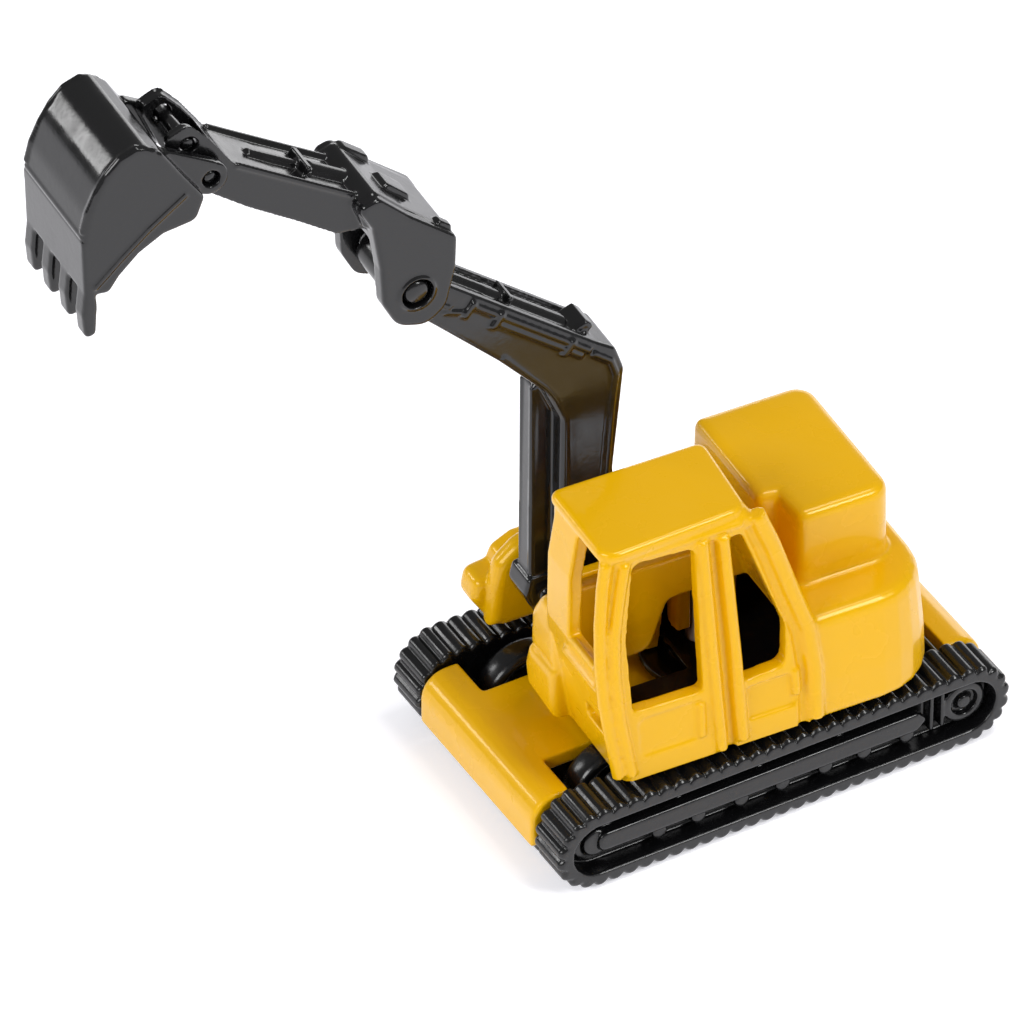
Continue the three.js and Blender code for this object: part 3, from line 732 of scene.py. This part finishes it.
def make_stick():
    arm = [
        (-27, 63.4), (-33.1, 64.2), (-36.5, 66.7), (-41, 69.8), (-44.4, 72.5, 1), (-46.6, 74.4, 1),
        (-47.6, 76.8, 1), (-48.5, 79, 0.9), (-46.4, 79.9, 1), (-44.6, 77.8, 1), (-42.5, 74.6),
        (-37.8, 71.4), (-30, 66.4),
    ]
    head = [
        (-22.8, 61.2, 0.8), (-27.2, 64.9, 0.8), (-30, 67.7, 0.8), (-32, 67.2, 0.8), (-30.6, 64.6),
        (-29.9, 60, 1), (-29.7, 56.2, 2), (-28.4, 53.6, 2), (-25.6, 52.7, 2), (-23.8, 54.2, 2),
        (-22.9, 58, 1),
    ]
    roof = [
        (-22.8, 61.2, 0.8), (-27.2, 65.1, 0.8), (-30, 67.9, 0.8), (-32, 67.2, 0.8), (-31, 64.4),
        (-27, 62.2), (-23.4, 59.6),
    ]
    throat = [(-19, 60.6), (-22.4, 61.4), (-25.6, 62), (-30.8, 62.8), (-33, 51), (-19, 49)]
    fork = [(-49.5, 73), (-45.6, 73), (-43.4, 77.6), (-44.8, 82), (-50.5, 82)]
    beam = cut(arm_slab(arm, STICK_HALF, 0.4), arm_slab(fork, 2))
    ears = cut(arm_slab(head, 4.7, 0.35), arm_slab(throat, 3.15))
    body = join(ears, beam, arm_slab(roof, 3.9, 0.3))
    top = (-30, 66.6), (-42.3, 74.6)
    extras = [
        arm_bar(beside(top, (0.02, 0.3), (0.36, 0.3)), 0.85, 24),
        arm_bar(beside(top, (0.36, 0.1), (0.8, 0.15)), 0.45, 16),
        arm_slab(beside(top, (0.4, 0.6), (0.4, -0.75), (0.44, -0.75), (0.44, 0.6)), 1.6, 0.2),
        arm_slab([(-26, 62.2), (-25.6, 64.3, 0.4), (-27.6, 66.2, 0.4), (-29.2, 66)], 1.1, 0.2, 0.4),
        arm_slab(
            [(-27.4, 63), (-27.2, 65.9, 0.6), (-29.6, 67.9, 0.6), (-31, 66.4)],
            0.7, 0.25, -3.5,
        ),
        arm_slab([(-23.4, 60.2), (-23, 62, 0.3), (-24.2, 63, 0.3), (-25, 62)], 0.5, 0.15, 3.6),
    ]
    extras += arm_beads(beside(top, (0, 0.1), (0.98, 0.1)), STICK_HALF - 0.15, 0.3)
    extras += [arm_disc(1.75, STICK, side * 4.6, 0.3, 0.2) for side in (1, -1)]
    body = join(body, *extras)
    body = cut(
        body,
        arm_bore(1.45, STICK.y, STICK.z),
        arm_bore(0.85, BUCKET.y, BUCKET.z),
        arm_bore(0.8, *LINK),
    )
    cast(body, 0.13, 4)
    finished(body, "stick_moulding", "stick_arm", "arm_plastic", ["stick"], turned=True)


def make_arm_pins():
    profile = [(0, -4.75), (0.85, -4.75), (1.1, -4.5), (1.1, 4.5), (0.85, 4.75), (0, 4.75)]
    for name, at, scale, reach, body, slot in (
        ("stick_pin", (STICK.y, STICK.z), 1.05, 1, "stick_arm", "arm_plastic"),
        ("bucket_pin", (BUCKET.y, BUCKET.z), 0.55, 0.84, "stick_arm", "arm_plastic"),
        ("link_pin", LINK, 0.55, 0.58, "stick_arm", "arm_plastic"),
        ("boom_pin", (BOOM.y, BOOM.z), 0.7, 0.95, "house", "steel"),
    ):
        pin = lathe([(r * scale, h * reach) for r, h in profile], ARM_X, *at)
        finished(pin, name + "_turned", body, slot, [name], turned=True)


def make_bucket():
    profile = [
        (-55, 67.6, 0.6), (-54, 69, 1), (-52.2, 70.7), (-50, 71.9), (-47, 72.3, 1),
        (-46.2, 74.4, 0.5), (-48.3, 77.6, 0.5), (-49.9, 80.2, 0.8), (-51.6, 81.6, 1.5),
        (-53.7, 81.2, 3), (-55.6, 79, 6), (-56.8, 76.2, 6), (-57.3, 74, 0.4), (-57.2, 67.9, 0.4),
    ]
    room = [
        (-56.2, 66), (-46, 66), (-42, 72.3), (-48.6, 75.2), (-50.4, 78.6, 1), (-52, 80.2, 1),
        (-53.5, 79.6, 1.5), (-55.1, 76.9, 3), (-56.4, 73.8, 1),
    ]
    body = cut(arm_slab(profile, BUCKET_HALF, 0.4), arm_slab(room, BUCKET_HALF - 0.9))
    throat = [(-48.6, 70), (-40, 70), (-40, 82), (-48.6, 82)]
    throat_half, ear_middle = 3.3, 3.8
    body = cut(body, arm_slab(throat, throat_half), arm_disc(5.95, BUCKET, 0, throat_half, 0))
    ear = [
        (-46.4, 73.7), (-45, 73.4, 0.6), (-43.6, 74.6, 1.4), (-44.4, 76.4, 1.2), (-49, 79.2),
        (-50, 78.2), (-50, 74.6),
    ]
    extras = [arm_slab(ear, 0.5, 0.15, side * ear_middle) for side in (1, -1)]
    extras += [arm_disc(1.55, BUCKET, side * ear_middle, 0.5, 0.15) for side in (1, -1)]
    rim = [
        (-57.1, 74.4), (-56.6, 76.3), (-55.8, 78), (-54.8, 79.6), (-53.6, 80.8), (-52.2, 81.3),
        (-50.6, 80.5),
    ]
    extras += arm_beads(rim, BUCKET_HALF - 0.4, 0.36)
    crease = [(-48, 75.4), (-51.4, 73), (-54, 70.8), (-56.4, 68.6)]
    extras += arm_beads(crease, BUCKET_HALF - 0.12, 0.3)
    lip_end = BUCKET_HALF - 0.3
    extras += [
        bead([(ARM_X - lip_end, -57.1, 74), (ARM_X + lip_end, -57.1, 74)], 0.3),
        arm_slab([(-57.25, 68.2), (-56.3, 68.2), (-56.4, 73.6), (-57.35, 73.6)], BUCKET_HALF, 0.2),
    ]
    tooth = [
        (-56.3, 69.5), (-57.1, 69.5), (-57.5, 66), (-57.3, 63.6, 0.4), (-56.3, 63.8, 0.4),
        (-56.1, 66.6),
    ]
    extras += [arm_slab(tooth, 0.85, 0.3, (i - 1.5) * 3.25) for i in range(4)]
    body = join(body, *extras)
    body = cut(body, arm_bore(0.8, BUCKET.y, BUCKET.z))
    cast(body, 0.13, 4)
    finished(body, "bucket_moulding", "bucket_scoop", "arm_plastic", ["bucket"], turned=True)


make_house()
make_house_floor()
make_chassis()
make_pan()
make_track("track_left", 1)
make_track("track_right", -1)
make_wheels()
make_rivets()
make_boom()
make_stick()
make_arm_pins()
make_bucket()


# Studio -------------------------------------------------------------------------------------------
def make_stage():
    bm = bmesh.new()
    bmesh.ops.create_grid(bm, x_segments=1, y_segments=1, size=2.5)
    floor = as_object(bm, "floor")
    paper = bpy.data.materials.new("paper")
    paper.use_nodes = True
    shader = paper.node_tree.nodes["Principled BSDF"]
    shader.inputs["Base Color"].default_value = (0.93, 0.925, 0.95, 1)
    shader.inputs["Roughness"].default_value = 0.9
    shader.inputs["Emission Color"].default_value = (0.95, 0.95, 1, 1)
    shader.inputs["Emission Strength"].default_value = 0.42
    floor.data.materials.append(paper)


def area_light(name, place, size, power):
    light = bpy.data.lights.new(name, "AREA")
    light.shape = "RECTANGLE"
    light.size, light.size_y = size
    light.energy = power
    obj = bpy.data.objects.new(name, light)
    obj.location = place
    aim = Vector((0, 0, 0.03)) - Vector(place)
    obj.rotation_euler = aim.to_track_quat("-Z", "Y").to_euler()
    bpy.context.scene.collection.objects.link(obj)


def make_lights():
    area_light("top_softbox", (0.1, 0.25, 0.9), (0.34, 0.28), 2.6)
    area_light("back_softbox", (-0.6, 0.55, 0.12), (0.7, 0.3), 1.6)
    area_light("side_softbox", (0.6, 0.37, 0.62), (0.2, 0.34), 3.2)
    area_light("left_softbox", (-0.6, -0.56, 0.33), (0.1, 0.26), 0.8)
    area_light("front_fill", (0.2, -0.75, 0.5), (0.5, 0.3), 4)
    world = bpy.data.worlds.new("studio")
    world.use_nodes = True
    world.node_tree.nodes["Background"].inputs["Color"].default_value = (1, 1, 1, 1)
    world.node_tree.nodes["Background"].inputs["Strength"].default_value = 0.26
    bpy.context.scene.world = world
    bpy.context.scene.view_settings.view_transform = "Standard"


def make_camera():
    azimuth, elevation = math.radians(60.03), math.radians(39.93)
    eye = Vector((646.04, -391.42 + SLEW_Y, 655.76)) * MM
    right = Vector((math.cos(azimuth), math.sin(azimuth), 0))
    level = Vector((math.sin(azimuth), -math.cos(azimuth), 0))
    back = level * math.cos(elevation) + Vector((0, 0, math.sin(elevation)))
    up = back.cross(right)
    camera = bpy.data.cameras.new("camera")
    camera.lens, camera.sensor_width = 404.97, 36
    camera.clip_start, camera.clip_end = 0.05, 20
    obj = bpy.data.objects.new("camera", camera)
    obj.matrix_world = Matrix.Translation(eye) @ Matrix((right, up, back)).transposed().to_4x4()
    bpy.context.scene.collection.objects.link(obj)
    bpy.context.scene.camera = obj


make_stage()
make_lights()
make_camera()
